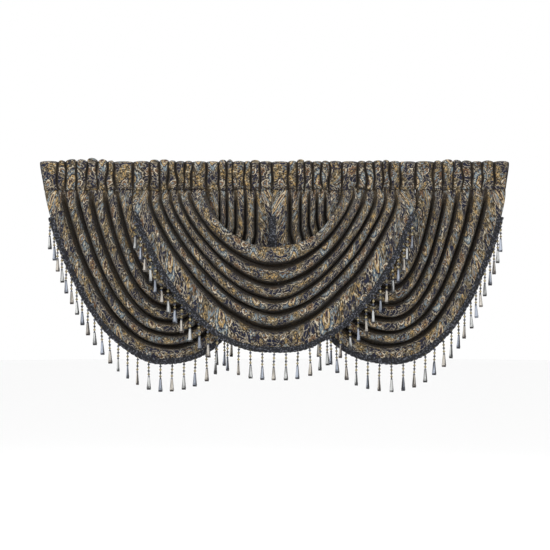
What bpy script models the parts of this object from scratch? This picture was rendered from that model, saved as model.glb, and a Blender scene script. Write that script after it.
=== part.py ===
"""Three waterfall valances that share one curtain rod.

Each is a cowl of cloth that hangs in deep swag folds between two gathered rod pockets, with a
braided trim and bead drops along its curved hem. Their pockets take turns along the rod, so that
the middle valance lies over its two neighbours.

Sizes are in millimetres. x runs along the rod from the middle of the set, y points to the wall,
and z is up from the top edge of the headings.
"""

import math
from collections import namedtuple

import bmesh
import bpy
import numpy as np

MM = 0.001

# Heading: the rod pockets
POCKET_HEIGHT = 113.5
ROD_LEVEL = 40.0  # below the top edge, where the pocket is deepest
ROD_HALF_DEPTH = 15.0  # outside, in a crease of the gathers
ROD_RUFFLE = 8.0  # how far a ruffle stands out there
TOP_HALF_DEPTH = 13.0
TOP_RUFFLE = 4.0
TOP_CREASE = -8.0  # where the top edge lies in a crease
POCKET_WALL = 2.0
SEAM_HALF_DEPTH = 2.5
SEAM_OPEN = 0.5  # half the gap that is left between the two walls at the seam
SEAM_BEHIND = 1.0  # the seam lies this far in front of the rod's middle, in a crease
SEAM_RUFFLE = 11.0
RUFFLE_SHAPE = 0.5  # below 1 a ruffle is flat-topped
RUFFLE_STEPS = (0.0, 0.3, 0.7)

# Swags: the cloth between the pockets
CLOTH = 2.0
SEAM_Z = 114.5  # below the top edge
SWING_DEPTH = 95.0  # below the seam, where the folds have swung out to their full depth
BELLY = 2.2  # how round the lower curve of a hanging line is
STEEP = 1.2  # and how steeply it leaves the seam
SIDE_STEPS = 12
CREST_BREADTH = 1.5  # above 1 a fold's crest is broader than the valley beside it
FOLD_STEPS = (0.25, 0.5, 0.75)
FACING_SET_BACK = 36.0  # the turned-in neck edge, behind the crest of the first fold
ROLL_SET_BACK = 10.0
FINE = 240  # points that a curve is measured on

# Trim: a braid on the hem, with bead drops
BRAID_WIDTH = 20.0
BRAID_OVERHANG = 6.0
BRAID_THICKNESS = 3.0
BRAID_GAP = 0.6
BRAID_INSET = 4.0  # from the fold above it
BRAID_STEPS = 30
TRIM_START = 98.0  # below the seam
DROP_SPACING = 44.5
DROP_CLEARANCE = 9.8  # sideways from one drop to the next, where the hem is too steep for every drop
STRING_LENGTH = 57.0
STRING_HALF = 2.3
STRING_FORWARD = 2.6  # in front of the braid's middle
STRING_OUT = 4.0  # outside the cloth's edge
CRYSTAL_LENGTH = 51.0
CRYSTAL_TOP_HALF = 4.5
CRYSTAL_FOOT_HALF = 7.0
CRYSTAL_HALF_DEPTH = 3.4

# A rod pocket: its creases along the rod, the top of each ruffle between them, and how far its top
# flares out past its seam at each end
Pocket = namedtuple("Pocket", "creases tops flare_left flare_right")
POCKETS = {
    "pocket_left_outer": Pocket(
        (-872, -821, -789, -750, -711, -671, -633, -606, -534.2), (-4, -1, 3, 2.5, 8, 3, -2, -5), 17, 0
    ),
    "pocket_middle_left": Pocket(
        (-533.8, -471, -435, -401, -370, -340, -313, -256.2), (-4, 1.5, 2, -1.5, -4, -3, -4.5), 0, 0
    ),
    "pocket_left_inner": Pocket(
        (-255.8, -207, -182, -156, -112, -87, -53, -7.2), (-5, 1, 2, -3.5, -4, 0, -4.5), 0, 0
    ),
    "pocket_right_inner": Pocket(
        (-6.8, 55, 87, 114, 150, 179, 209, 256.8), (-5, -3, 2.5, -2, -4.5, -2.5, -3.5), 0, 0
    ),
    "pocket_middle_right": Pocket(
        (257.2, 317, 350, 380, 410, 441, 479, 535.8), (-4.5, -3, -2.5, -1.5, 0.5, -3.5, -5), 0, 0
    ),
    "pocket_right_outer": Pocket(
        (536.2, 604, 640, 678, 714, 751, 789, 836, 880), (-4.5, -2, 2.5, 0.5, -1.5, -4.5, -2, -4), 0, 13
    ),
}

# A swag: where its lowest point is, how far each side hangs straight below the seam, the y of its
# crests and of its valleys, the y of its hem at each end, and its named lines
Swag = namedtuple("Swag", "low_x lead_left lead_right crest valley hem_left hem_right edges folds")
# A line across the swag: its ends at the seam, its lowest point below the top edge, and its roundness
Line = namedtuple("Line", "left right low belly", defaults=[BELLY])
SWAGS = {
    "left": Swag(
        -394, 8, 185, -27, 27, -16, -6,
        edges={"facing": Line(-534.6, -255.4, 452), "roll": Line(-551, -236, 426), "hem": Line(-870, -7.4, 767)},
        folds=(
            Line(-572, -218, 460),
            Line(-616, -194, 532),
            Line(-669, -163, 589),
            Line(-726, -127, 640),
            Line(-771, -89, 686),
            Line(-832, -49, 731),
        ),
    ),
    "middle": Swag(
        0, 50, 50, -92, -38, -80, -80,
        edges={"facing": Line(-256.6, 257.6, 357), "roll": Line(-275, 270, 332), "hem": Line(-533.4, 535.4, 722)},
        folds=(
            Line(-300, 283, 365, 2.1),
            Line(-342, 319, 441, 1.85),
            Line(-376, 365, 505, 1.75),
            Line(-410, 403, 557, 1.75),
            Line(-448, 441, 608, 1.75),
            Line(-490, 483, 672, 1.8),
        ),
    ),
    "right": Swag(
        441, 180, 22, -27, 27, -24, -16,
        edges={"facing": Line(256.4, 538.6, 445), "roll": Line(234, 562, 418), "hem": Line(-6.6, 879, 767)},
        folds=(
            Line(211, 585, 452),
            Line(179, 627, 517),
            Line(148, 673, 578),
            Line(118, 720, 631),
            Line(84, 777, 678),
            Line(38, 832, 730),
        ),
    ),
}
SEAM_CREST_Y = -12.0
SEAM_VALLEY_Y = -2.0

FINISHES = {
    "jacquard": ((0.23, 0.19, 0.13, 1.0), 0.85),
    "braid": ((0.045, 0.05, 0.065, 1.0), 0.9),
}


def clear_scene():
    for old in list(bpy.data.objects):
        bpy.data.objects.remove(old)


def finish(name):
    """The named material, made when it is first asked for."""
    found = bpy.data.materials.get(name)
    if found:
        return found
    colour, roughness = FINISHES[name]
    made = bpy.data.materials.new(name)
    made.use_nodes = True
    shader = made.node_tree.nodes["Principled BSDF"]
    shader.inputs["Base Color"].default_value = colour
    shader.inputs["Roughness"].default_value = roughness
    return made


def mesh_object(name, points, faces, material):
    """A mesh of points in millimetres, with its faces turned outwards."""
    mesh = bpy.data.meshes.new(name)
    mesh.from_pydata([tuple(float(value) * MM for value in point) for point in points], [], faces)
    shape = bmesh.new()
    shape.from_mesh(mesh)
    bmesh.ops.recalc_face_normals(shape, faces=shape.faces)
    shape.to_mesh(mesh)
    shape.free()
    mesh.shade_smooth()
    mesh.materials.append(finish(material))
    made = bpy.data.objects.new(name, mesh)
    bpy.context.scene.collection.objects.link(made)
    return made


def sheet_object(name, grid, thickness, material):
    """A sheet on a grid of rows and columns of points, thickened to both sides."""
    rows, columns = grid.shape[:2]
    faces = []
    for row in range(rows - 1):
        for column in range(columns - 1):
            first = row * columns + column
            faces.append((first, first + 1, first + columns + 1, first + columns))
    made = mesh_object(name, grid.reshape(-1, 3), faces, material)
    solidify = made.modifiers.new("Thickness", "SOLIDIFY")
    solidify.thickness = thickness * MM
    solidify.offset = 0.0
    return made


def pocket_columns(pocket):
    """(x, rise, top, flare) down the pocket: rise is 0 in a crease and near 1 on a ruffle."""
    columns = []
    for start, end, ruffle in zip(pocket.creases, pocket.creases[1:], pocket.tops):
        for step in RUFFLE_STEPS:
            rise = math.sin(math.pi * step) ** RUFFLE_SHAPE
            columns.append((start + (end - start) * step, rise, TOP_CREASE + (ruffle - TOP_CREASE) * rise))
    columns.append((pocket.creases[-1], 0.0, TOP_CREASE))
    first, second = pocket.creases[:2]
    before_last, last = pocket.creases[-2:]
    spread = []
    for x, rise, top in columns:
        left = pocket.flare_left * max(0.0, 1 - (x - first) / (second - first))
        right = pocket.flare_right * max(0.0, 1 - (last - x) / (last - before_last))
        spread.append((x, rise, top, right - left))
    return spread


def pocket_section(rise, top):
    """The outer and inner outline at this rise and top: (y, z), from the seam over the top."""
    seam = -SEAM_BEHIND - SEAM_RUFFLE * rise
    rod = ROD_HALF_DEPTH + ROD_RUFFLE * rise
    half = TOP_HALF_DEPTH + TOP_RUFFLE * rise
    outer = [
        (seam - SEAM_HALF_DEPTH, -POCKET_HEIGHT),
        (-rod, -ROD_LEVEL),
        (-half, top),
        (half, top),
        (rod, -ROD_LEVEL),
        (seam + SEAM_HALF_DEPTH, -POCKET_HEIGHT),
    ]
    inner = [
        (seam - SEAM_OPEN, -POCKET_HEIGHT + POCKET_WALL),
        (-rod + POCKET_WALL, -ROD_LEVEL),
        (-half + POCKET_WALL, top - POCKET_WALL),
        (half - POCKET_WALL, top - POCKET_WALL),
        (rod - POCKET_WALL, -ROD_LEVEL),
        (seam + SEAM_OPEN, -POCKET_HEIGHT + POCKET_WALL),
    ]
    return outer, inner


def make_pocket(name, pocket):
    """A gathered tube of cloth, open at both ends for the rod."""
    points = []
    columns = pocket_columns(pocket)
    for x, rise, top, flare in columns:
        for outline in pocket_section(rise, top):
            points += [(x + flare * (1 + z / POCKET_HEIGHT), y, z) for y, z in outline]
    around = len(points) // len(columns) // 2
    stride = 2 * around
    faces = []
    for column in range(len(columns) - 1):
        for wall in (0, around):
            for step in range(around):
                first = column * stride + wall + step
                second = column * stride + wall + (step + 1) % around
                faces.append((first, second, second + stride, first + stride))
    for end in (0, (len(columns) - 1) * stride):
        for step in range(around):
            after = (step + 1) % around
            faces.append((end + step, end + after, end + around + after, end + around + step))
    return mesh_object(name, points, faces, "jacquard")


def hanging_side(reach, drop, lead, belly, steps):
    """Half of a hanging line, from its lowest point up to the seam, in even steps: (across, down)."""
    angle = np.linspace(0, math.pi / 2, FINE)
    across = np.append(reach * np.sin(angle) ** (2 / belly), reach)
    down = np.append(lead + (drop - lead) * np.cos(angle) ** (2 / STEEP), 0.0)
    run = np.concatenate([[0], np.cumsum(np.hypot(np.diff(across), np.diff(down)))])
    even = np.linspace(0, run[-1], steps + 1)
    return np.interp(even, run, across), np.interp(even, run, down)


def line_points(swag, line, y_left, y_right, y_seam, steps=SIDE_STEPS):
    """Points along one line of the swag, from its left end to its right end."""
    drop = line.low - SEAM_Z
    deepest = swag.edges["hem"].low - SEAM_Z
    share = drop / deepest
    left, left_down = hanging_side(swag.low_x - line.left, drop, swag.lead_left * share, line.belly, steps)
    right, right_down = hanging_side(line.right - swag.low_x, drop, swag.lead_right * share, line.belly, steps)
    x = swag.low_x + np.concatenate([-left[::-1], right[1:]])
    down = np.concatenate([left_down[::-1], right_down[1:]])
    reach = np.clip(down / SWING_DEPTH, 0, 1)
    swing = reach * reach * (3 - 2 * reach)
    y = y_seam + (np.linspace(y_left, y_right, len(x)) - y_seam) * swing
    return np.stack([x, y, -SEAM_Z - down], axis=1)


def between(first, second, share):
    """The line that lies at this share of the way from one line to another."""
    return Line(*(a + (b - a) * share for a, b in zip(first, second)))


def braid_line(swag):
    """The line under the braid's upper edge."""
    hem = swag.edges["hem"]
    return Line(hem.left + BRAID_WIDTH, hem.right - BRAID_WIDTH, hem.low - BRAID_WIDTH)


def swag_rows(swag):
    """The swag's lines from neck edge to hem, each as (line, y at left, y at right, y at seam)."""
    facing = swag.crest + FACING_SET_BACK
    roll = swag.crest + ROLL_SET_BACK
    rows = [
        (swag.edges["facing"], facing, facing, SEAM_VALLEY_Y),
        (swag.edges["roll"], roll, roll, SEAM_CREST_Y),
        (swag.folds[0], swag.crest, swag.crest, SEAM_CREST_Y),
    ]
    for above, below in zip(swag.folds, swag.folds[1:]):
        for step in FOLD_STEPS:
            tuck = math.sin(math.pi * step) ** (2 * CREST_BREADTH)
            y = swag.crest + (swag.valley - swag.crest) * tuck
            y_seam = SEAM_CREST_Y + (SEAM_VALLEY_Y - SEAM_CREST_Y) * tuck
            rows.append((between(above, below, step), y, y, y_seam))
        rows.append((below, swag.crest, swag.crest, SEAM_CREST_Y))
    rows.append((braid_line(swag), swag.hem_left - 3, swag.hem_right - 3, SEAM_CREST_Y))
    rows.append((swag.edges["hem"], swag.hem_left, swag.hem_right, SEAM_CREST_Y))
    return rows


def make_swag(name, swag):
    """The cowl of cloth: one folded sheet between its two pockets."""
    grid = np.array([line_points(swag, *row) for row in swag_rows(swag)])
    return sheet_object("cloth_" + name, grid, CLOTH, "jacquard")


def hem_run(swag):
    """The braid's upper line, the hem and the way out from the hem, finely spaced, where the trim runs."""
    upper, hem = (line_points(swag, *row, steps=FINE) for row in swag_rows(swag)[-2:])
    trimmed = hem[:, 2] <= -SEAM_Z - TRIM_START
    upper, hem = upper[trimmed], hem[trimmed]
    upper = upper + (hem - upper) * BRAID_INSET / BRAID_WIDTH
    along = np.gradient(hem, axis=0)
    out = np.stack([along[:, 2], np.zeros(len(hem)), -along[:, 0]], axis=1)
    out /= np.linalg.norm(out, axis=1)[:, None]
    return upper, hem, out


def drop_places(hem, out):
    """Where the drops hang from: evenly along the hem, but none that would hang in the one below it."""
    run = np.concatenate([[0], np.cumsum(np.linalg.norm(np.diff(hem, axis=0), axis=1))])
    count = int((run[-1] - DROP_SPACING / 2) / DROP_SPACING) + 1
    first = (run[-1] - (count - 1) * DROP_SPACING) / 2
    at = first + DROP_SPACING * np.arange(count)
    edge = hem + out * STRING_OUT
    places = np.stack([np.interp(at, run, edge[:, axis]) for axis in range(3)], axis=1)
    lowest = int(np.argmin(places[:, 2]))
    kept = [lowest]
    for side in (range(lowest - 1, -1, -1), range(lowest + 1, count)):
        last = lowest
        for place in side:
            if abs(places[place, 0] - places[last, 0]) >= DROP_CLEARANCE:
                kept.append(place)
                last = place
    return places[sorted(kept)]


def make_drops(name, hem, out):
    """The bead strings and their crystals, one closed shape for each, to be fused to the braid."""
    forward = CLOTH / 2 + BRAID_GAP + BRAID_THICKNESS / 2 + STRING_FORWARD
    rings = (
        (STRING_HALF, STRING_HALF, STRING_HALF),
        (STRING_HALF, STRING_HALF, -STRING_LENGTH),
        (CRYSTAL_TOP_HALF, CRYSTAL_HALF_DEPTH, -STRING_LENGTH - 1.0),
        (CRYSTAL_FOOT_HALF, CRYSTAL_HALF_DEPTH, -STRING_LENGTH - CRYSTAL_LENGTH),
    )
    points, faces = [], []
    for x, y, z in drop_places(hem, out) - np.array([0, forward, 0]):
        start = len(points)
        for half, half_depth, below in rings:
            for side_x, side_y in ((-1, -1), (1, -1), (1, 1), (-1, 1)):
                points.append((x + side_x * half, y + side_y * half_depth, z + below))
        for ring in range(len(rings) - 1):
            for corner in range(4):
                here = start + 4 * ring + corner
                beside = start + 4 * ring + (corner + 1) % 4
                faces.append((here, beside, beside + 4, here + 4))
        faces.append(tuple(start + corner for corner in range(4)))
        faces.append(tuple(start + 4 * (len(rings) - 1) + corner for corner in range(4)))
    made = mesh_object(name, points, faces, "braid")
    made.hide_render = True
    made.display_type = "WIRE"
    return made


def make_trim(name, swag):
    """The braid along the hem, with its bead drops fused to it."""
    upper, hem, out = hem_run(swag)
    stations = np.linspace(0, len(hem) - 1, BRAID_STEPS + 1).round().astype(int)
    forward = np.array([0, -(CLOTH / 2 + BRAID_GAP + BRAID_THICKNESS / 2), 0])
    lines = (upper, hem, hem + out * BRAID_OVERHANG)
    grid = np.array([line[stations] + forward for line in lines])
    braid = sheet_object("trim_" + name, grid, BRAID_THICKNESS, "braid")
    fuse = braid.modifiers.new("Drops", "BOOLEAN")
    fuse.operation = "UNION"
    fuse.object = make_drops("drops_" + name, hem, out)
    return braid


def main():
    clear_scene()
    for name, pocket in POCKETS.items():
        make_pocket(name, pocket)
    for name, swag in SWAGS.items():
        make_swag(name, swag)
        make_trim(name, swag)


main()
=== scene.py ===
"""Three waterfall valances of paisley jacquard on one rod, with braid and crystal drops on their hems."""

import math
from collections import namedtuple

import bmesh
import bpy
import numpy as np
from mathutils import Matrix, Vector, noise


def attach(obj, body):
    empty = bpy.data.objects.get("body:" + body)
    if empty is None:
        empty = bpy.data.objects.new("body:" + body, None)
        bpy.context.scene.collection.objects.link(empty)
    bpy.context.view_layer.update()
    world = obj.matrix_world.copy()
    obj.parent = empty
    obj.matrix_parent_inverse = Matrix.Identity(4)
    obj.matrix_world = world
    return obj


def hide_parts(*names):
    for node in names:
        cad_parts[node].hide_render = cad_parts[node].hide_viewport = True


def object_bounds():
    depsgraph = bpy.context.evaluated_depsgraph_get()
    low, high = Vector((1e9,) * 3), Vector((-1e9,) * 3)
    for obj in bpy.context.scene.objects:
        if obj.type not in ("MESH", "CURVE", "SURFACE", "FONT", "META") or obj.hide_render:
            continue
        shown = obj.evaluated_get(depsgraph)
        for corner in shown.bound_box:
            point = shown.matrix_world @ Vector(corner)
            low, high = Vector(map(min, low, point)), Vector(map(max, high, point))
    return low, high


bl_info = {
    "name": "Waterfall Valances",
    "version": (1, 0, 0),
    "blender": (4, 5, 0),
    "location": "3D View > Sidebar > Valances",
    "description": "Makes the cloth, braid and bead fringe of three waterfall valances that share a rod",
    "category": "Object",
}

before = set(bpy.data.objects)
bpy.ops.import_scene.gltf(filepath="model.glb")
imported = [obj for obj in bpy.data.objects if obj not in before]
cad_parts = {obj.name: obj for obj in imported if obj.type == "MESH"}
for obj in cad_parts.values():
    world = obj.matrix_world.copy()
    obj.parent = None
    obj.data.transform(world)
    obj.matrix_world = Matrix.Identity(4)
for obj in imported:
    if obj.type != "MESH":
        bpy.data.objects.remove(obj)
SOLID_BOX = [[float(value) for value in corner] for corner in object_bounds()]

# The tables are in millimetres, from the middle of the headings' top edge. Blender's own lengths are metres.
MM = 0.001

# A rod pocket: its creases along the rod, the top of each ruffle between them, and how far its top
# flares out past its seam at each end
Pocket = namedtuple("Pocket", "creases tops flare_left flare_right")
POCKETS = {
    "pocket_left_outer": Pocket(
        (-872, -821, -789, -750, -711, -671, -633, -606, -534.2), (-4, -1, 3, 2.5, 8, 3, -2, -5), 17, 0
    ),
    "pocket_middle_left": Pocket(
        (-533.8, -471, -435, -401, -370, -340, -313, -256.2), (-4, 1.5, 2, -1.5, -4, -3, -4.5), 0, 0
    ),
    "pocket_left_inner": Pocket(
        (-255.8, -207, -182, -156, -112, -87, -53, -7.2), (-5, 1, 2, -3.5, -4, 0, -4.5), 0, 0
    ),
    "pocket_right_inner": Pocket(
        (-6.8, 55, 87, 114, 150, 179, 209, 256.8), (-5, -3, 2.5, -2, -4.5, -2.5, -3.5), 0, 0
    ),
    "pocket_middle_right": Pocket(
        (257.2, 317, 350, 380, 410, 441, 479, 535.8), (-4.5, -3, -2.5, -1.5, 0.5, -3.5, -5), 0, 0
    ),
    "pocket_right_outer": Pocket(
        (536.2, 604, 640, 678, 714, 751, 789, 836, 880), (-4.5, -2, 2.5, 0.5, -1.5, -4.5, -2, -4), 0, 13
    ),
}
POCKET_HEIGHT = 113.5
RUFFLE_SHAPE = 0.6  # below 1 a ruffle is flat-topped, with sharp creases beside it
SEAM_BEHIND = 1.0  # how far in front of the rod the seam lies in a crease
SEAM_RUFFLE = 11.0  # and how much further forward it lies on a ruffle
SEAM_HALF = 2.2  # half the depth of the tube where it is sewn flat
POCKET_STEPS = 12  # columns of faces on a ruffle
POCKET_WANDER = 9.0  # how far the creases wander sideways
POCKET_DENT = 2.4  # how deep the dents in the ruffles are

# A level of the pocket's outline: its height, its half depth in a crease, and how far a ruffle adds to that
Level = namedtuple("Level", "z half ruffle")
POCKET_LEVELS = (
    Level(-96, 4.6, 7.5),
    Level(-72, 9.4, 7.4),
    Level(-48, 14.6, 7.4),
    Level(-26, 15.6, 7.6),
    Level(-12, 13.4, 6.8),
    Level(-3.4, 7.6, 4.0),
    Level(-0.6, 2.6, 1.2),
)
TOP_CREASE = -9.5  # where the top edge lies in a crease

# A swag: where its lowest point is, how far each side hangs straight below the seam, the y of its
# crests and of its valleys, the y of its hem at each end, and its named lines
Swag = namedtuple("Swag", "low_x lead_left lead_right crest valley hem_left hem_right edges folds")
BELLY = 2.2  # how round the lower curve of a hanging line is
# A line across the swag: its ends at the seam, its lowest point below the top edge, its roundness, and how
# much less round it is on the right
Line = namedtuple("Line", "left right low belly slack", defaults=[BELLY, 0.0])
SWAGS = {
    "left": Swag(
        -394, 8, 185, -27, 27, -16, -6,
        edges={
            "facing": Line(-534.6, -259.0, 452, 1.75),
            "roll": Line(-551, -236, 426, 1.8),
            "hem": Line(-870, -7.4, 767),
        },
        folds=(
            Line(-572, -218, 460),
            Line(-616, -194, 532),
            Line(-669, -163, 589),
            Line(-726, -127, 640),
            Line(-771, -89, 686),
            Line(-832, -49, 731),
        ),
    ),
    "middle": Swag(
        0, 50, 50, -92, -38, -80, -80,
        edges={
            "facing": Line(-256.6, 257.6, 357),
            "roll": Line(-275, 270, 332),
            "hem": Line(-533.4, 535.4, 722),
        },
        folds=(
            Line(-300, 283, 365, 2.1),
            Line(-342, 319, 441, 1.85),
            Line(-376, 365, 505, 1.75),
            Line(-410, 403, 557, 1.75),
            Line(-448, 441, 608, 1.75),
            Line(-490, 483, 672, 1.8),
        ),
    ),
    "right": Swag(
        441, 180, 22, -27, 27, -24, -16,
        edges={
            "facing": Line(260.0, 537.4, 445, 2.2, 1.2),
            "roll": Line(234, 562, 418, 2.2, 1.0),
            "hem": Line(-6.6, 879, 767),
        },
        folds=(
            Line(211, 585, 452),
            Line(179, 627, 517),
            Line(148, 673, 578),
            Line(118, 720, 631),
            Line(84, 777, 678),
            Line(38, 832, 730),
        ),
    ),
}
SEAM_Z = 113.0  # how far below the top edge a pocket is sewn to its swag
SWING_DEPTH = 95.0  # below the seam, where the folds have swung out to their full depth
STEEP = 1.2  # how steeply a hanging line leaves the seam
LINE_POINTS = 240  # points on half a hanging line, before it is cut in even steps
FACING_SET_BACK = 36.0  # how far behind the crests the edge of the turned-in neck lies
ROLL_SET_BACK = 10.0  # and where the cloth rolls over into it
GATHER_DEPTH = 95.0  # below the seam, where the small pleats of the gathers have run out
FREE_DEPTH = 120.0  # below the seam, where the cloth hangs free and wanders its full distance
WANDER_WIDE, WANDER_TALL = 150.0, 62.0  # size of the slow waves in the cloth
DIMPLE_WIDE, DIMPLE_TALL = 42.0, 24.0  # size of the dimples
DIMPLE_DEPTH = 1.6
PLEAT_RADIAN = 11.5  # length along the cloth of one radian of a small pleat
CRUMPLE_SIZE = 17.0

# A place on the way from one crest to the next: its share of the way down, and of the way back to the
# valley, which is also how much painted shade it gets
Tuck = namedtuple("Tuck", "share depth")
TUCKS = (
    Tuck(0.17, 0.05), Tuck(0.31, 0.34), Tuck(0.40, 0.86), Tuck(0.52, 1.0), Tuck(0.63, 0.62), Tuck(0.80, 0.12),
)

BRAID_WIDTH = 20.0  # of the strip of cloth above the hem that carries the braid
BRAID_INSET = 7.0  # how far down that strip the band starts
BRAID_OVERHANG = 6.0  # how far the braid reaches past the hem
BAND_SHORT = 3.0  # how much less far the band itself does between two scallops
BRAID_FORWARD = 3.1  # in front of the middle of the cloth
BRAID_SPACING = 4.0  # from one station along the hem to the next
SOLID_SEAM = 1.5  # how much lower the seam of the solids lies, which TRIM_START is measured from
TRIM_START = 98.0  # below the seam
DROP_SPACING = 44.5
DROP_CLEARANCE = 9.8  # sideways from one drop to the next, where the hem is too steep for every drop
SCALLOP_PITCH = 18.8
STRING_LENGTH = 57.0
STRING_OUT = 4.0  # outside the hem
STRING_FORWARD = 5.7  # in front of the middle of the cloth
THREAD_ABOVE = 4.0  # how far the thread goes up into the braid
CORD_STEP = 2.4  # from one point of a braid cord to the next
CORD_FORWARD = 2.2  # in front of the middle of the band
THREAD_RADIUS = 0.7

# A place on the braid's outline: its share of the way from the upper to the lower edge, and its height
Place = namedtuple("Place", "share height")
BRAID_OUTLINE = (
    Place(0.0, -0.4), Place(0.0, 0.3), Place(0.12, 0.9), Place(0.5, 1.3), Place(0.88, 0.9),
    Place(1.0, 0.3), Place(1.0, -0.4), Place(0.5, -1.0),
)

# A cord of the braid, in metres: where it runs across the band, how far it waves, its phase, how far it
# comes forward, and its share of the cord radius
Cord = namedtuple("Cord", "middle wave phase lift radius")
BRAID_CORDS = (
    Cord(-0.0115, 0.0, 0.0, 0.0, 0.8),
    Cord(-0.0035, 0.0062, 0.0, 0.0011, 1.0),
    Cord(-0.0035, 0.0062, 2.094, 0.0011, 1.0),
    Cord(-0.0035, 0.0062, 4.189, 0.0011, 1.0),
    Cord(0.0055, 0.0022, 0.0, 0.0004, 0.8),
    Cord(0.0055, 0.0022, 3.142, 0.0004, 0.8),
)
LOOPED_CORD = Cord(0.0026, 0.0, 0.0, 0.0, 1.15)

# A ring of a turned shape: its level below the top and its radius
Ring = namedtuple("Ring", "level radius")
BEAD_RINGS = (Ring(0.0, 1.4), Ring(1.6, 4.2), Ring(3.2, 5.2), Ring(4.8, 5.2), Ring(6.4, 4.2), Ring(8.0, 1.4))
SEED_RINGS = (Ring(0.0, 1.4), Ring(0.8, 2.8), Ring(2.2, 2.8), Ring(3.0, 1.4))
CAP_RINGS = (Ring(-2.5, 1.2), Ring(-1.0, 2.6), Ring(2.4, 4.6), Ring(4.0, 4.2))
CRYSTAL_RINGS = (Ring(1.0, 2.6), Ring(3.0, 4.4), Ring(37.0, 7.8), Ring(44.5, 9.0), Ring(51.5, 8.0))
# How much painted dark reflection each facet of a crystal gets, going round it, and its rim at the foot
FACET_REFLECTION_TONES = (0.9, 0.0, 0.25, 0.8, 1.2, 0.40, 0.0, 1.2)
RIM_REFLECTION_TONE = 1.2

# What hangs from a root: every which one of how many, its shape, how many hang there, how far down the
# first one is and how far apart they are, the most that each is turned about its string, and its finish
Hanging = namedtuple("Hanging", "piece kinds kind shape count top pitch turn finish")
HANGINGS = (
    Hanging("threads", 1, 0, None, 1, 0, 0, 0, "Braid yarn"),
    Hanging("gunmetal_beads", 1, 0, "beads", 2, 8.5, 25.0, 3.1, "Gunmetal beads"),
    Hanging("gold_beads", 1, 0, "beads", 2, 21.0, 25.0, 3.1, "Olive gold beads"),
    Hanging("seed_beads", 1, 0, "seeds", 18, 0.5, 3.05, 3.1, "Bronze seed beads"),
    Hanging("caps", 1, 0, "caps", 1, STRING_LENGTH, 0, 3.1, "Gunmetal beads"),
    Hanging("clear_crystals", 3, 0, "crystals", 1, STRING_LENGTH, 0, 0.9, "Clear crystal"),
    Hanging("smoke_crystals", 3, 1, "crystals", 1, STRING_LENGTH, 0, 0.9, "Smoke crystal"),
    Hanging("rose_crystals", 3, 2, "crystals", 1, STRING_LENGTH, 0, 0.9, "Rose crystal"),
)
SWAY_SEED = 4
SPIN_SEED = 9
BEAD_TILT = (0.03, 0.05)  # the most that a bead tips about x and y, in radians

# A lamp, in metres: where it stands, its width and height, and its power in watts
Lamp = namedtuple("Lamp", "name place size power")
LIGHTS = (
    Lamp("Key light", (-1.3, -3.0, 1.9), (2.4, 1.4), 70),
    Lamp("Fill light", (2.4, -3.4, 0.6), (1.6, 1.6), 22),
    Lamp("Back light", (0.6, 2.6, 1.4), (2.4, 1.2), 30),
)
FLOOR_RADIUS = 16.0  # metres
FLOOR_SIDES = 48

# The middle of the picture, measured from the middle of the top edge
Middle = namedtuple("Middle", "x z")
PICTURE_MIDDLE = Middle(4, -437)


class ValanceCloth(bpy.types.PropertyGroup):
    """The cloth of the swags and of the rod pockets."""

    thickness: bpy.props.FloatProperty(
        name="Thickness", description="How thick the cloth is",
        default=0.0014, min=0.001, max=0.003, unit="LENGTH",
    )
    fold_steps: bpy.props.IntProperty(
        name="Fold steps", description="Rows of faces from one place in a fold to the next",
        default=3, min=1, max=6,
    )
    side_steps: bpy.props.IntProperty(
        name="Side steps", description="Columns of faces from a swag's lowest point to its pocket",
        default=120, min=12,
    )
    unevenness: bpy.props.FloatProperty(
        name="Unevenness", description="How far the folds wander",
        default=0.007, min=0.0, unit="LENGTH",
    )
    gathers: bpy.props.FloatProperty(
        name="Gathers", description="Depth of the small pleats below a pocket",
        default=0.0028, min=0.0, unit="LENGTH",
    )
    tan: bpy.props.FloatVectorProperty(
        name="Tan", description="Ground colour",
        subtype="COLOR", size=3, default=(0.135, 0.110, 0.070),
    )
    gold: bpy.props.FloatVectorProperty(
        name="Gold", description="Brighter yarn in the ground",
        subtype="COLOR", size=3, default=(0.34, 0.225, 0.09),
    )
    cream: bpy.props.FloatVectorProperty(
        name="Cream", description="Outlines and specks",
        subtype="COLOR", size=3, default=(0.50, 0.44, 0.33),
    )
    slate: bpy.props.FloatVectorProperty(
        name="Slate blue", description="Body of the paisley drops",
        subtype="COLOR", size=3, default=(0.14, 0.175, 0.195),
    )
    navy: bpy.props.FloatVectorProperty(
        name="Navy", description="Darkest figures",
        subtype="COLOR", size=3, default=(0.008, 0.010, 0.025),
    )
    rust: bpy.props.FloatVectorProperty(
        name="Rust", description="Hearts of the figures",
        subtype="COLOR", size=3, default=(0.125, 0.070, 0.038),
    )
    # Painted shade deep in the folds and creases, and also the yarn of the brown specks and outlines in the
    # figures
    shadow: bpy.props.FloatVectorProperty(
        name="Brown black", description="Deep in the folds",
        subtype="COLOR", size=3, default=(0.0105, 0.007, 0.0035),
    )


class ValanceTrim(bpy.types.PropertyGroup):
    """The braid and the bead drops on a hem."""

    yarn: bpy.props.FloatVectorProperty(
        name="Yarn", description="Colour of the braid",
        subtype="COLOR", size=3, default=(0.020, 0.021, 0.025),
    )
    plait_pitch: bpy.props.FloatProperty(
        name="Plait pitch", description="Length of one wave of a braid cord",
        default=0.0175, min=0.002, unit="LENGTH",
    )
    cord_radius: bpy.props.FloatProperty(
        name="Cord radius", description="Half the thickness of a braid cord",
        default=0.0021, min=0.0005, unit="LENGTH",
    )
    scallop: bpy.props.FloatProperty(
        name="Scallop", description="How far the lower edge swells out in each scallop",
        default=0.0052, min=0.0, unit="LENGTH",
    )
    sway: bpy.props.FloatProperty(
        name="Sway", description="How far out of plumb a string may hang",
        default=0.045, min=0.0, subtype="ANGLE",
    )


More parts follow.
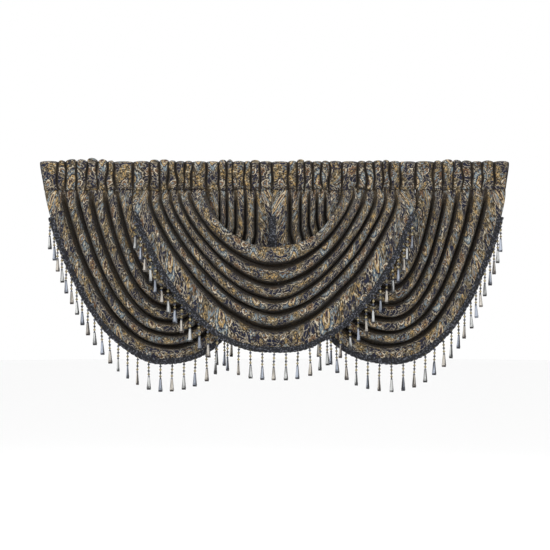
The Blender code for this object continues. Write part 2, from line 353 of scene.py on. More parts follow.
class ValanceStage(bpy.types.PropertyGroup):
    """The floor, the light and the camera."""

    floor_level: bpy.props.FloatProperty(
        name="Floor level", description="Height of the floor", default=-1.6, unit="LENGTH"
    )
    camera_distance: bpy.props.FloatProperty(
        name="Camera distance", description="From the camera to the headings",
        default=6.0, min=1.0, unit="LENGTH",
    )
    picture_width: bpy.props.FloatProperty(
        name="Picture width", description="What the picture takes in at the headings",
        default=2.09, min=0.5, unit="LENGTH",
    )


# Making meshes


def linked(name, mesh, *materials):
    """A new object of this mesh in the scene, with these materials."""
    for material in materials:
        mesh.materials.append(material)
    made = bpy.data.objects.new(name, mesh)
    bpy.context.scene.collection.objects.link(made)
    return made


def smooth_rows(keys, steps):
    """A smooth curve through rows of values, with this many steps from each row to the next."""
    padded = np.concatenate([2 * keys[:1] - keys[1:2], keys, 2 * keys[-1:] - keys[-2:-1]])
    rows = []
    for first, start, end, last in zip(padded, padded[1:], padded[2:], padded[3:]):
        for step in range(steps):
            t = step / steps
            rows.append(
                0.5
                * (
                    2 * start
                    + (end - first) * t
                    + (2 * first - 5 * start + 4 * end - last) * t**2
                    + (3 * start - 3 * end + last - first) * t**3
                )
            )
    rows.append(keys[-1])
    return np.array(rows)


def run_along(points, axis):
    """Distance run along a grid of points, from its start on this axis."""
    steps = np.linalg.norm(np.diff(points, axis=axis), axis=-1)
    start = np.zeros_like(np.take(steps, [0], axis=axis))
    return np.concatenate([start, np.cumsum(steps, axis=axis)], axis=axis)


def cloth_mesh(name, grid, across, down, tuck):
    """A sheet that faces the room, from rows of points in millimetres that run from left to right.

    across and down are each point's place in the flat cloth, and tuck is how much painted shade it gets for
    lying deep in a fold or crease: 1 is the bottom of a fold, and up to 2 the darkest creases.
    """
    rows, columns = grid.shape[:2]
    index = np.arange(rows * columns).reshape(rows, columns)
    quads = np.stack([index[:-1, :-1], index[1:, :-1], index[1:, 1:], index[:-1, 1:]], axis=-1).reshape(-1, 4)
    mesh = bpy.data.meshes.new(name)
    mesh.from_pydata((grid.reshape(-1, 3) * MM).tolist(), [], quads.tolist())
    flat = np.stack([across, down], axis=-1).reshape(-1, 2) * MM
    mesh.uv_layers.new(name="Flat cloth").data.foreach_set("uv", flat[quads.ravel()].ravel())
    mesh.attributes.new("tuck", "FLOAT", "POINT").data.foreach_set("value", np.clip(tuck, 0, 2).ravel())
    mesh.shade_smooth()
    return mesh


def cloth_piece(mesh, thickness):
    """A new object of a sheet, with its thickness, and with the wrong side of the jacquard on its back."""
    front, reverse = (bpy.data.materials[name] for name in ("Paisley jacquard", "Jacquard reverse"))
    made = linked(mesh.name, mesh, front, reverse)
    solidify = made.modifiers.new("Thickness", "SOLIDIFY")
    solidify.thickness = thickness
    solidify.offset = 0.0
    solidify.material_offset = 1
    solidify.material_offset_rim = 0
    return made


def tube_mesh(name, rings):
    """A closed tube through rings of points in millimetres, with flat ends."""
    count, around = rings.shape[:2]
    faces = [tuple(range(around)), tuple(range((count - 1) * around, count * around))]
    for ring in range(count - 1):
        for side in range(around):
            here = ring * around + side
            beside = ring * around + (side + 1) % around
            faces.append((here, beside, beside + around, here + around))
    mesh = bpy.data.meshes.new(name)
    mesh.from_pydata((rings.reshape(-1, 3) * MM).tolist(), [], faces)
    shape = bmesh.new()
    shape.from_mesh(mesh)
    bmesh.ops.recalc_face_normals(shape, faces=shape.faces)
    shape.to_mesh(mesh)
    shape.free()
    return mesh


def waviness(points, seed):
    """A smooth random value from -1 to 1 for each point."""
    flat = points.reshape(-1, 2)
    values = [noise.noise(Vector((x, y, seed))) for x, y in flat.tolist()]
    return np.array(values).reshape(points.shape[:-1])


# The rod pockets

CREASES = np.array(sorted({crease for pocket in POCKETS.values() for crease in pocket.creases}))
SEAM_STATIONS = np.arange(-900.0, 901.0, 12.0)
SEAM_DRIFTS = np.array([5.5 * noise.noise(Vector((x / 38, 4.0, 1.5))) for x in SEAM_STATIONS])


def ruffle_rise(x):
    """0 in a crease between the ruffles of the headings, and near 1 on a ruffle."""
    place = np.clip(np.searchsorted(CREASES, x) - 1, 0, len(CREASES) - 2)
    share = np.clip((x - CREASES[place]) / (CREASES[place + 1] - CREASES[place]), 0, 1)
    return np.sin(np.pi * share) ** RUFFLE_SHAPE


def pocket_columns(pocket):
    """(x, rise, top) down a pocket, closest together in its creases."""
    x, rise, top = [], [], []
    for start, end, ruffle in zip(pocket.creases, pocket.creases[1:], pocket.tops):
        share = (1 - np.cos(np.pi * np.arange(POCKET_STEPS) / POCKET_STEPS)) / 2
        x.append(start + (end - start) * (share - 0.035 * np.sin(2 * np.pi * share)))
        rise.append(np.sin(np.pi * share) ** RUFFLE_SHAPE)
        top.append(TOP_CREASE + (ruffle - TOP_CREASE) * rise[-1])
    x, rise, top = (np.concatenate(values) for values in (x, rise, top))
    return np.append(x, pocket.creases[-1]), np.append(rise, 0.0), np.append(top, TOP_CREASE)


def crease_shade(x):
    """How much painted shade lies down in a crease of the headings: 1.8 at its bottom, and 0 from 5.2 mm
    beside it.
    """
    place = np.clip(np.searchsorted(CREASES, x) - 1, 0, len(CREASES) - 2)
    near = np.minimum(np.abs(x - CREASES[place]), np.abs(CREASES[place + 1] - x))
    return np.clip(2.6 - near / 2.0, 0, 1.8)


def valley_shade(x):
    """Painted shade: 1 where a valley between two folds of a swag meets the seam, and 0 where a fold does."""
    pairs = [pair for swag in SWAGS.values() for pair in zip(swag.folds, swag.folds[1:])]
    valleys = [(above.left + below.left) / 2 for above, below in pairs]
    valleys = np.array(sorted(valleys + [(above.right + below.right) / 2 for above, below in pairs]))
    place = np.clip(np.searchsorted(valleys, x), 1, len(valleys) - 1)
    near = np.minimum(np.abs(x - valleys[place - 1]), np.abs(x - valleys[place]))
    return np.clip(1.5 - near / 6.0, 0, 1)


def seam_pucker_shade(x, z):
    """1 where painted shade stands for the small hollows that the gathering thread pulls in beside the seam.
    """
    near = np.clip(1.3 - np.abs(z + SEAM_Z) / 15, 0, 1)
    return np.clip(waviness(np.stack([x / 7, z / 11], axis=-1), 57.0) * 3.2 - 0.5, 0, 1) * near


def seam_drift(x):
    """How far the gathers pull the seam up or down."""
    return np.interp(x, SEAM_STATIONS, SEAM_DRIFTS)


def pocket_outline(rise, top):
    """The outline of the pocket at each column, from its seam in front over the top to its seam behind."""
    seam = -SEAM_BEHIND - SEAM_RUFFLE * rise
    level = np.full_like(rise, -POCKET_HEIGHT - 1.0)
    front = [(seam - SEAM_HALF, level)]
    behind = [(seam + SEAM_HALF, level)]
    for z, half, ruffle in POCKET_LEVELS:
        lean = np.clip(z + POCKET_HEIGHT, 0, POCKET_HEIGHT) / POCKET_HEIGHT
        middle = seam * (1 - lean) ** 3
        height = z + top * lean**4
        front.append((middle - half - ruffle * rise, height))
        behind.append((middle + half + ruffle * rise, height))
    return np.array(front + behind[::-1])


def pocket_sheet(name, pocket, cloth):
    """One gathered rod pocket: a tube of cloth that is open at both ends, and its flat size."""
    x, rise, top = pocket_columns(pocket)
    outline = smooth_rows(pocket_outline(rise, top), cloth.fold_steps)
    y, z = outline[:, 0], outline[:, 1]
    first, second = pocket.creases[:2]
    before_last, last = pocket.creases[-2:]
    share = 1 + z / POCKET_HEIGHT
    flare = pocket.flare_right * np.clip(1 - (last - x) / (last - before_last), 0, 1)
    flare = flare - pocket.flare_left * np.clip(1 - (x - first) / (second - first), 0, 1)
    side = np.broadcast_to(x, z.shape)
    places = np.stack([side / 26, z / 40], axis=-1)
    inward = np.sin(np.pi * np.clip((x - first) / (last - first), 0, 1)) ** 0.25
    wander = waviness(places * 0.8, 3.0) * POCKET_WANDER * inward
    dent = waviness(places * 1.9, 7.0) * POCKET_DENT * (0.4 + rise)
    z = z + seam_drift(x) * np.clip(-z / POCKET_HEIGHT, 0, 1) ** 3
    grid = np.stack([side + flare * share + wander, y - dent * np.sign(y), z], axis=-1)
    across = run_along(grid, 1)
    middle_row = across[len(across) // 4]
    across = np.broadcast_to(middle_row, z.shape) * 0.6 + across * 0.4
    down = run_along(grid, 0)
    # A heading's tuck is painted shade: patchy shade over all but its top, shade down in each crease, and
    # near its seam the shade where the swags' valleys and the gathers' puckers meet it.
    shade = 0.20 + 0.22 * waviness(places * 0.9, 31.0)
    crease = crease_shade(x) * (0.85 + 0.5 * waviness(places * 1.4, 13.0))
    crease = crease + np.clip(shade, 0, 1) * np.clip(-z / 12, 0, 1)
    low = np.clip((-z - 80) / 30, 0, 1)
    meeting_shade = np.maximum(valley_shade(grid[..., 0]) * 0.5, seam_pucker_shade(grid[..., 0], z) * 0.7)
    crease = np.maximum(crease * (1 - 0.5 * low), meeting_shade * low)
    shift = 0.4 * first
    mesh = cloth_mesh("heading_" + name, grid[::-1], across[::-1] + shift, 24 - down[::-1], crease[::-1])
    flat = (float(middle_row[-1]) * MM, float(down[-1].mean()) * MM)
    return mesh, flat


# The swags


def hanging_side(reach, drop, lead, belly, steps):
    """Half of a hanging line, from its lowest point up to the seam, in even steps: (across, down)."""
    angle = np.linspace(0, math.pi / 2, LINE_POINTS)
    across = np.append(reach * np.sin(angle) ** (2 / belly), reach)
    down = np.append(lead + (drop - lead) * np.cos(angle) ** (2 / STEEP), 0.0)
    run = np.concatenate([[0], np.cumsum(np.hypot(np.diff(across), np.diff(down)))])
    even = np.linspace(0, run[-1], steps + 1)
    return np.interp(even, run, across), np.interp(even, run, down)


def swag_keys(swag):
    """Rows of a Line's values and of (y at left, y at right, tuck), from the neck edge to the hem; the tuck
    is the painted shade.
    """
    facing = swag.crest + FACING_SET_BACK
    roll = swag.crest + ROLL_SET_BACK
    # The last value of each row is its painted shade: much on the turned-in facing, a little on the roll.
    keys = [
        (*swag.edges["facing"], facing, facing, 0.9),
        (*swag.edges["roll"], roll, roll, 0.15),
        (*swag.folds[0], swag.crest, swag.crest, 0.0),
    ]
    for above, below in zip(swag.folds, swag.folds[1:]):
        for tuck in TUCKS:
            y = swag.crest + (swag.valley - swag.crest) * tuck.depth
            line = [a + (b - a) * tuck.share for a, b in zip(above, below)]
            keys.append((*line, y, y, tuck.depth))
        keys.append((*below, swag.crest, swag.crest, 0.0))
    hem = swag.edges["hem"]
    above_braid = Line(hem.left + BRAID_WIDTH, hem.right - BRAID_WIDTH, hem.low - BRAID_WIDTH, hem.belly)
    keys.append((*above_braid, swag.hem_left - 3, swag.hem_right - 3, 0.0))
    keys.append((*hem, swag.hem_left, swag.hem_right, 0.0))
    return np.array(keys)


def swag_grid(swag, cloth):
    """The swag's points in millimetres, row by row, with each point's depth below the seam and its tuck,
    which sets its painted shade.
    """
    rows = smooth_rows(swag_keys(swag), cloth.fold_steps)
    deepest = swag.edges["hem"].low - SEAM_Z
    grid, depths, tucks = [], [], []
    for left_x, right_x, low, belly, slack, y_left, y_right, tuck in rows:
        drop = low - SEAM_Z
        share = drop / deepest
        left, left_down = hanging_side(
            swag.low_x - left_x, drop, swag.lead_left * share, belly, cloth.side_steps
        )
        right, right_down = hanging_side(
            right_x - swag.low_x, drop, swag.lead_right * share, belly - slack, cloth.side_steps
        )
        x = swag.low_x + np.concatenate([-left[::-1], right[1:]])
        down = np.concatenate([left_down[::-1], right_down[1:]])
        reach = np.clip(down / SWING_DEPTH, 0, 1)
        swing = reach * reach * (3 - 2 * reach)
        seam = -SEAM_BEHIND - SEAM_RUFFLE * ruffle_rise(np.array([left_x, right_x]))
        y_seam = np.where(x < swag.low_x, seam[0], seam[1])
        y = y_seam + (np.linspace(y_left, y_right, len(x)) - y_seam) * swing
        grid.append(np.stack([x, y, -SEAM_Z - down], axis=1))
        depths.append(down)
        tucks.append(np.full(len(x), tuck))
    return np.array(grid), np.array(depths), np.array(tucks)


def swag_sheet(name, swag, cloth, seed):
    """One swag's mesh, its points, and its flat size and area."""
    grid, depth, tuck = swag_grid(swag, cloth)
    across = run_along(grid, 1)
    across = across - across[:, cloth.side_steps : cloth.side_steps + 1]
    down = run_along(grid, 0)
    middle = down[:, cloth.side_steps : cloth.side_steps + 1]
    place = np.stack([across / WANDER_WIDE, middle / WANDER_TALL + across * 0], axis=-1)
    free = np.clip(depth / FREE_DEPTH, 0, 1)
    wander = cloth.unevenness / MM * free
    grid[..., 1] += waviness(place, seed) * wander
    grid[..., 2] += waviness(place * 1.3, seed + 20) * wander * 0.9
    small = np.stack([across / DIMPLE_WIDE, middle / DIMPLE_TALL + across * 0], axis=-1)
    grid[..., 1] += waviness(small, seed + 40) * DIMPLE_DEPTH * free
    fade = np.clip(1 - depth / GATHER_DEPTH, 0, 1) ** 1.3 * np.clip(depth / 10, 0, 1)
    pleat = np.sin(middle / PLEAT_RADIAN + 2.6 * waviness(place * 2.4, seed + 60))
    crumple = waviness(grid[..., ::2] / CRUMPLE_SIZE, seed + 80)
    grid[..., 1] += (pleat + 1.2 * crumple) * fade * cloth.gathers / MM
    grid[..., 2] += seam_drift(grid[..., 0]) * np.clip(1 - depth / 30, 0, 1)
    # Painted shade: the fold shade is lighter near the seam, more lies in the small pleats of the gathers,
    # and the shade of the headings' creases and of the seam's puckers reaches just below the seam.
    tuck = tuck * np.clip((depth + 14) / 64, 0.22, 1) + fade * np.clip(pleat + crumple - 0.2, 0, 1) * 0.4
    meeting_shade = crease_shade(grid[..., 0]) * 0.7 * np.clip(1 - depth / 26, 0, 1)
    tuck = np.maximum(tuck, np.maximum(meeting_shade, seam_pucker_shade(grid[..., 0], grid[..., 2]) * 0.7))
    length = float(middle[-1, 0]) * MM
    width = float(across[-1, -1] - across[-1, 0]) * MM
    mesh = cloth_mesh("swag_" + name, grid, across, -np.broadcast_to(middle, across.shape), tuck)
    area = sum(face.area for face in mesh.polygons)
    return mesh, grid, (width, length), area


# Node trees


class Signal:
    """A number in a shader tree, which arithmetic on it extends."""

    def __init__(self, tree, socket):
        self.tree = tree
        self.socket = socket

    def math(self, operation, *others):
        """The result of a math node on this number and others."""
        inputs = dict(enumerate((self, *others)))
        return Signal(self.tree, output(self.tree, "ShaderNodeMath", inputs, operation=operation))

    def __add__(self, other):
        return self.math("ADD", other)

    def __sub__(self, other):
        return self.math("SUBTRACT", other)

    def __mul__(self, other):
        return self.math("MULTIPLY", other)

    def __truediv__(self, other):
        return self.math("DIVIDE", other)

    def below(self, edge, soft=0.02):
        """1 where this is below the edge, and 0 where it is above, with a soft step."""
        limits = {"From Min": edge - soft, "From Max": edge + soft, "To Min": 1.0, "To Max": 0.0}
        step = add_node(self.tree, "ShaderNodeMapRange", limits, interpolation_type="SMOOTHSTEP")
        fill(self.tree, step, {"Value": self})
        return Signal(self.tree, step.outputs["Result"])


def fill(tree, node, inputs):
    """Sets or links a node's inputs by name or place."""
    for key, value in inputs.items():
        slot = node.inputs[key]
        if isinstance(value, Signal):
            value = value.socket
        if isinstance(value, bpy.types.NodeSocket):
            tree.links.new(value, slot)
        else:
            slot.default_value = value


def add_node(tree, kind, inputs=None, **settings):
    """A new node with these settings, and with its inputs set or linked."""
    node = tree.nodes.new(kind)
    for key, value in settings.items():
        setattr(node, key, value)
    fill(tree, node, inputs or {})
    return node


def output(tree, kind, inputs=None, **settings):
    """The first output of a new node."""
    return add_node(tree, kind, inputs, **settings).outputs[0]


def channels(tree, kind, value):
    """The numbers in a colour or in a vector."""
    return [Signal(tree, socket) for socket in add_node(tree, kind, {0: value}).outputs]


def given(tree, start, *labels):
    """The numbers that come in at these sockets."""
    return [Signal(tree, start.outputs[label]) for label in labels]


def painted(tree, colour, *layers):
    """The colour under some layers, each of them a mask and the colour that covers it where the mask is 1."""
    for mask, cover in layers:
        colour = add_node(tree, "ShaderNodeMix", {0: mask, 6: colour, 7: cover}, data_type="RGBA").outputs[2]
    return colour


def noise_value(tree, place, scale, detail=1.0):
    """Smooth random values between 0 and 1, of about this many waves in a metre."""
    node = add_node(tree, "ShaderNodeTexNoise", {"Vector": place, "Scale": scale, "Detail": detail})
    return Signal(tree, node.outputs["Fac"])


def attribute(tree, name):
    """A value that the mesh holds."""
    return Signal(tree, add_node(tree, "ShaderNodeAttribute", attribute_name=name).outputs["Fac"])


def object_place(tree):
    """A place in the object's own frame."""
    return add_node(tree, "ShaderNodeTexCoord").outputs["Object"]


def new_tree(kind, name, inputs, outputs):
    """An empty node tree with these named sockets, and its input and output nodes."""
    tree = bpy.data.node_groups.new(name, kind)
    for side, sockets in (("INPUT", inputs), ("OUTPUT", outputs)):
        for label, value in sockets:
            tree.interface.new_socket(label, in_out=side, socket_type="NodeSocket" + value)
    return tree, tree.nodes.new("NodeGroupInput"), tree.nodes.new("NodeGroupOutput")


# The paisley pattern

REPEAT_WIDE = 0.145
REPEAT_TALL = 0.185
BEND = 0.014  # how far the figures bend out of their repeat
THREADS_PER_METRE = 900.0
CLOTH_COLOURS = ("Tan", "Gold", "Cream", "Slate", "Navy", "Rust", "Brown")


def drop_repeat(u, v, wide, tall, shift_u=0.0, shift_v=0.0):
    """Place from the middle of a motif in a half-drop repeat, each second motif mirrored."""
    across = u / wide + shift_u
    column = across.math("FLOOR")
    up = v / tall + column.math("PINGPONG", 1.0) * 0.5 + shift_v
    mirror = (column + up.math("FLOOR")).math("PINGPONG", 1.0) * -2.0 + 1.0
    return (across.math("FRACT") - 0.5) * wide * mirror, (up.math("FRACT") - 0.5) * tall


def turned(x, y, degrees):
    """The place in a frame that is turned by some degrees."""
    cos, sin = math.cos(math.radians(degrees)), math.sin(math.radians(degrees))
    return x * cos + y * sin, y * cos - x * sin


def paisley_drop(x, y, half_wide, half_tall, hook):
    """How far out in a hooked drop a point lies: 0 at its heart and 1 on its outline."""
    up = y / half_tall
    lean = up.math("MAXIMUM", 0.0)
    side = x - lean * lean * hook
    taper = (up * -0.42 + 0.62).math("MAXIMUM", 0.12) * (half_wide / 0.62)
    out = side / taper
    return (out * out + up * up).math("SQRT")


def paisley_pattern():
    """The woven figures: paisley drops, rosettes on navy grounds, winding stems and a speckled ground."""
    sockets = [("Flat", "Vector")] + [(name, "Color") for name in CLOTH_COLOURS]
    looks = [("Colour", "Color"), ("Relief", "Float")]
    tree, start, end = new_tree("ShaderNodeTree", "Paisley figures", sockets, looks)
    flat = start.outputs["Flat"]
    tan, gold, cream, slate, navy, rust, brown = (start.outputs[name] for name in CLOTH_COLOURS)
    bend = add_node(tree, "ShaderNodeTexNoise", {"Vector": flat, "Scale": 20.0, "Detail": 1.0})
    bend_u, bend_v, _ = channels(tree, "ShaderNodeSeparateColor", bend.outputs["Color"])
    u, v, _ = channels(tree, "ShaderNodeSeparateXYZ", flat)
    u = u.math("ABSOLUTE") + (bend_u - 0.5) * BEND
    v = v + (bend_v - 0.5) * BEND

    cells = {"Vector": flat, "Scale": 250.0, "Randomness": 0.9}
    fleck = add_node(tree, "ShaderNodeTexVoronoi", cells, voronoi_dimensions="2D")
    red, green, blue = channels(tree, "ShaderNodeSeparateColor", fleck.outputs["Color"])
    loose = red - 0.5
    field = noise_value(tree, flat, 15.0)
    zone = (noise_value(tree, flat, 12.0, 0.0) + loose * 0.04).below(0.53)
    stem = (noise_value(tree, flat, 34.0, 0.5) - 0.5).math("ABSOLUTE") + loose * 0.03
    scroll = noise_value(tree, flat, 19.0) + loose * 0.02
    curl = (noise_value(tree, flat, 60.0, 0.0) - 0.5).math("ABSOLUTE").below(0.035, 0.012)
    colour = painted(
        tree, tan,
        (red.below(0.42), gold),
        ((field + loose * 0.10).below(0.46), slate),
        ((field + loose * 0.24).below(0.35), rust),
        (green.below(0.24) * 0.8, cream),
        (blue.below(0.27) * 0.9, brown),
        (stem.below(0.040, 0.008) * zone, navy),
        (scroll.below(0.446, 0.004) * 0.45, cream),
        (scroll.below(0.432, 0.004), navy),
        (scroll.below(0.40, 0.01) * curl * 0.35, cream),
    )

    x, y = drop_repeat(u, v, REPEAT_WIDE, REPEAT_TALL, 0.5, 0.25)
    far = (x * x + y * y).math("SQRT")
    round_it = y.math("ARCTAN2", x)
    edge = far + (round_it * 5.0).math("COSINE") * 0.006 + loose * 0.004
    petal = far - (round_it * 4.0).math("COSINE").math("ABSOLUTE") * 0.008
    crisp = 0.0008
    colour = painted(
        tree, colour,
        (edge.below(0.0445, crisp) * 0.6, cream),
        (edge.below(0.042, crisp), navy),
        (edge.below(0.039, 0.001) * curl * 0.6, cream),
        (petal.below(0.0145, crisp), navy),
        (petal.below(0.0125, crisp), cream),
        (petal.below(0.0102, crisp), rust),
        (far.below(0.0068, crisp), navy),
        (far.below(0.0036, crisp), gold),
    )

    x, y = drop_repeat(u, v, REPEAT_WIDE, REPEAT_TALL)
    x, y = turned(x, y + 0.006, 26)
    drop = paisley_drop(x, y, 0.027, 0.054, 0.027) + loose * 0.10
    round_it = (y + 0.018).math("ARCTAN2", x)
    rim = drop + (round_it * 22.0).math("SINE") * 0.035
    beads = (drop - 0.76).math("ABSOLUTE") + (round_it * 15.0).math("SINE") * 0.045
    colour = painted(
        tree, colour,
        (rim.below(1.20), brown),
        (rim.below(1.12) * 0.7, cream),
        (drop.below(1.01), navy),
        (drop.below(0.91), slate),
        (beads.below(0.02), cream),
        ((drop - 0.56).math("ABSOLUTE").below(0.045, 0.012), navy),
        (drop.below(0.50), gold),
        (rim.below(0.36), cream),
        (drop.below(0.27), rust),
        (drop.below(0.13), navy),
    )

    x, y = drop_repeat(u, v, REPEAT_WIDE / 2, REPEAT_TALL / 2, 0.0, 0.5)
    x, y = turned(x, y, -40)
    bud = paisley_drop(x, y, 0.010, 0.020, 0.010) + loose * 0.25
    colour = painted(
        tree, colour,
        (bud.below(1.18, 0.04), navy),
        (bud.below(0.95, 0.04), cream),
        (bud.below(0.72, 0.04), rust),
        (bud.below(0.36, 0.04), slate),
        (green.below(0.16), brown),
        ((blue * -1.0).below(-0.90), tan),
    )
    relief = rim.below(1.12, 0.03) * 0.6 + bud.below(0.95, 0.1) * 0.4 + stem.below(0.05) * -0.5 + red * 0.4
    fill(tree, end, {"Colour": colour, "Relief": relief})


def thread_weave():
    """Fine crossing threads: their height, and how much painted shade lies between them."""
    looks = [("Height", "Float"), ("Gap", "Float")]
    tree, start, end = new_tree("ShaderNodeTree", "Crossing threads", [("Flat", "Vector")], looks)
    warp, weft, _ = channels(tree, "ShaderNodeSeparateXYZ", start.outputs["Flat"])
    pace = 2 * math.pi * THREADS_PER_METRE
    height = ((warp * pace).math("SINE") * (weft * pace).math("SINE")) * 0.5 + 0.5
    fill(tree, end, {"Height": height, "Gap": height.below(0.3, 0.25)})


def principled(name):
    """The tree of a new material, and its Principled shader."""
    material = bpy.data.materials.new(name)
    material.use_nodes = True
    return material.node_tree, material.node_tree.nodes["Principled BSDF"]


def rgba(colour, share=1.0):
    """A colour for a socket, made darker or lighter by a share."""
    return (*(share * value for value in colour), 1.0)


def woven(tree, shades):
    """The place in the flat cloth, and the outputs of the figures in these shades and of the threads."""
    groups = bpy.data.node_groups
    flat = output(tree, "ShaderNodeUVMap", uv_map="Flat cloth")
    shades = dict(zip(CLOTH_COLOURS, shades))
    figures = add_node(tree, "ShaderNodeGroup", {"Flat": flat} | shades, node_tree=groups["Paisley figures"])
    threads = add_node(tree, "ShaderNodeGroup", {"Flat": flat}, node_tree=groups["Crossing threads"])
    return flat, figures.outputs, threads.outputs


def bumped(tree, height, strength, distance):
    """A normal that follows this height."""
    return output(tree, "ShaderNodeBump", {"Height": height, "Strength": strength, "Distance": distance})


def jacquard_front(cloth):
    """The right side of the jacquard, with painted shade between its threads and in its folds and creases."""
    tree, shader = principled("Paisley jacquard")
    yarns = (cloth.tan, cloth.gold, cloth.cream, cloth.slate, cloth.navy, cloth.rust)
    shades = [rgba(yarn) for yarn in yarns]
    flat, figures, threads = woven(tree, [*shades, rgba(cloth.shadow, 2.2)])
    # Painted shade between the threads, and in three steps in the folds and creases as deep as the mesh's
    # tuck says, made patchy by noise.
    fold_shade = noise_value(tree, flat, 34.0, 2.0) * 0.24 - attribute(tree, "tuck")
    colour = painted(
        tree, figures["Colour"],
        (Signal(tree, threads["Gap"]) * 0.35, rgba(cloth.shadow)),
        (fold_shade.below(-0.22, 0.08) * 0.86, rgba(cloth.shadow, 2.0)),
        (fold_shade.below(-0.80, 0.2) * 0.8, rgba(cloth.shadow, 1.2)),
        (fold_shade.below(-1.2, 0.3) * 0.9, rgba(cloth.shadow, 0.2)),
    )
    relief = Signal(tree, figures["Relief"])
    normal = bumped(tree, relief + Signal(tree, threads["Height"]) * 0.5, 0.5, 0.0006)
    fill(tree, shader, {"Base Color": colour, "Normal": normal, "Roughness": relief * -0.12 + 0.72})
    fill(tree, shader, {"Sheen Weight": 0.05, "Specular IOR Level": 0.2})


def jacquard_reverse(cloth):
    """The wrong side, where the yarns change places and float over the figures."""
    tree, shader = principled("Jacquard reverse")
    shades = (
        rgba(cloth.navy, 2.4), rgba(cloth.slate, 0.35), rgba(cloth.tan, 0.7), rgba(cloth.tan, 0.35),
        rgba(cloth.tan), rgba(cloth.slate, 0.5), rgba(cloth.tan, 0.5),
    )
    flat, figures, threads = woven(tree, shades)
    floats = output(tree, "ShaderNodeMapping", {"Vector": flat, "Scale": (1.0, 7.0, 1.0)})
    floats = noise_value(tree, floats, 60.0, 2.0)
    colour = painted(tree, figures["Colour"], (floats.below(0.47, 0.05) * 0.6, rgba(cloth.navy)))
    normal = bumped(tree, threads["Height"], 0.4, 0.0004)
    fill(tree, shader, {"Base Color": colour, "Normal": normal, "Roughness": floats * 0.2 + 0.75})


def braid_yarn(trim):
    """Dull charcoal yarn with a twist."""
    tree, shader = principled("Braid yarn")
    place = object_place(tree)
    tone = noise_value(tree, place, 300.0, 2.0)
    light = noise_value(tree, place, 170.0)
    colour = painted(
        tree, rgba(trim.yarn),
        (tone.below(0.48, 0.08), rgba(trim.yarn, 0.35)),
        (light.below(0.40, 0.04), rgba(trim.yarn, 5.0)),
    )
    bands = {"Vector": place, "Scale": 260.0, "Distortion": 2.5}
    twist = add_node(tree, "ShaderNodeTexWave", bands, bands_direction="DIAGONAL").outputs["Fac"]
    fill(tree, shader, {"Base Color": colour, "Normal": bumped(tree, twist, 0.5, 0.0005)})
    fill(tree, shader, {"Roughness": tone * 0.2 + 0.6, "Specular IOR Level": 0.25})


def bead_finish(name, light, dark):
    """Faceted metallic beads, each a little lighter or darker than the next."""
    tree, shader = principled(name)
    tone = noise_value(tree, object_place(tree), 130.0)
    colour = painted(tree, rgba(light), (tone.below(0.5, 0.07), rgba(dark)))
    fill(tree, shader, {"Base Color": colour, "Roughness": tone * 0.16 + 0.1})
    fill(tree, shader, {"Metallic": 0.5, "Coat Weight": 0.4})


def crystal_finish(name, light, dark):
    """Clear cut drops, with painted dark reflections on some facets and on the foot."""
    tree, shader = principled(name)
    drawn = output(tree, "ShaderNodeMapping", {"Vector": object_place(tree), "Scale": (1.0, 1.0, 0.3)})
    tone = noise_value(tree, drawn, 45.0)
    # Painted dark reflections on the facets and the foot that the facet attribute marks, broken up by noise.
    dark_reflection = (attribute(tree, "facet") + (tone - 0.5) * 3.0).math("MAXIMUM", 0.0).math("MINIMUM", 1.0)
    colour = painted(tree, rgba(light), (dark_reflection, rgba(dark)))
    fill(tree, shader, {"Base Color": colour, "Roughness": tone * 0.08 + 0.02})
    fill(tree, shader, {"Transmission Weight": 0.35, "IOR": 1.5})


# The trim


def hem_rails(grid, cloth):
    """Evenly spaced points under the braid's upper edge and on the hem, and the way out from the hem."""
    hem = grid[-1]
    inner = grid[-1 - cloth.fold_steps]
    upper = inner + (hem - inner) * BRAID_INSET / BRAID_WIDTH
    trimmed = hem[:, 2] <= -SEAM_Z - SOLID_SEAM - TRIM_START
    hem, upper = hem[trimmed], upper[trimmed]
    run = run_along(hem, 0)
    even = np.linspace(0, run[-1], int(run[-1] / BRAID_SPACING) + 1)
    hem, upper = (
        np.stack([np.interp(even, run, line[:, axis]) for axis in range(3)], axis=1) for line in (hem, upper)
    )
    along = np.gradient(hem, axis=0)
    out = np.stack([along[:, 2], np.zeros(len(hem)), -along[:, 0]], axis=1)
    return upper, hem, out / np.linalg.norm(out, axis=1)[:, None]


def braid_band(name, upper, hem, out, scallop):
    """The flat woven band under the braid's cords, its lower edge in scallops."""
    lobe = np.sqrt(np.abs(np.sin(np.pi * run_along(hem, 0) / SCALLOP_PITCH)))[:, None]
    lower = hem + out * (BRAID_OVERHANG - BAND_SHORT + scallop / MM * lobe)
    rings = []
    for place in BRAID_OUTLINE:
        ring = upper + (lower - upper) * place.share
        rings.append(ring - np.array([0, BRAID_FORWARD + place.height, 0]))
    return tube_mesh("band_" + name, np.stack(rings, axis=1))


def path_mesh(name, points, out):
    """A line of edges, with the way out from the hem at each point."""
    mesh = bpy.data.meshes.new(name)
    mesh.from_pydata((points * MM).tolist(), [(step, step + 1) for step in range(len(points) - 1)], [])
    mesh.attributes.new("out", "FLOAT_VECTOR", "POINT").data.foreach_set("vector", out.ravel())
    return mesh


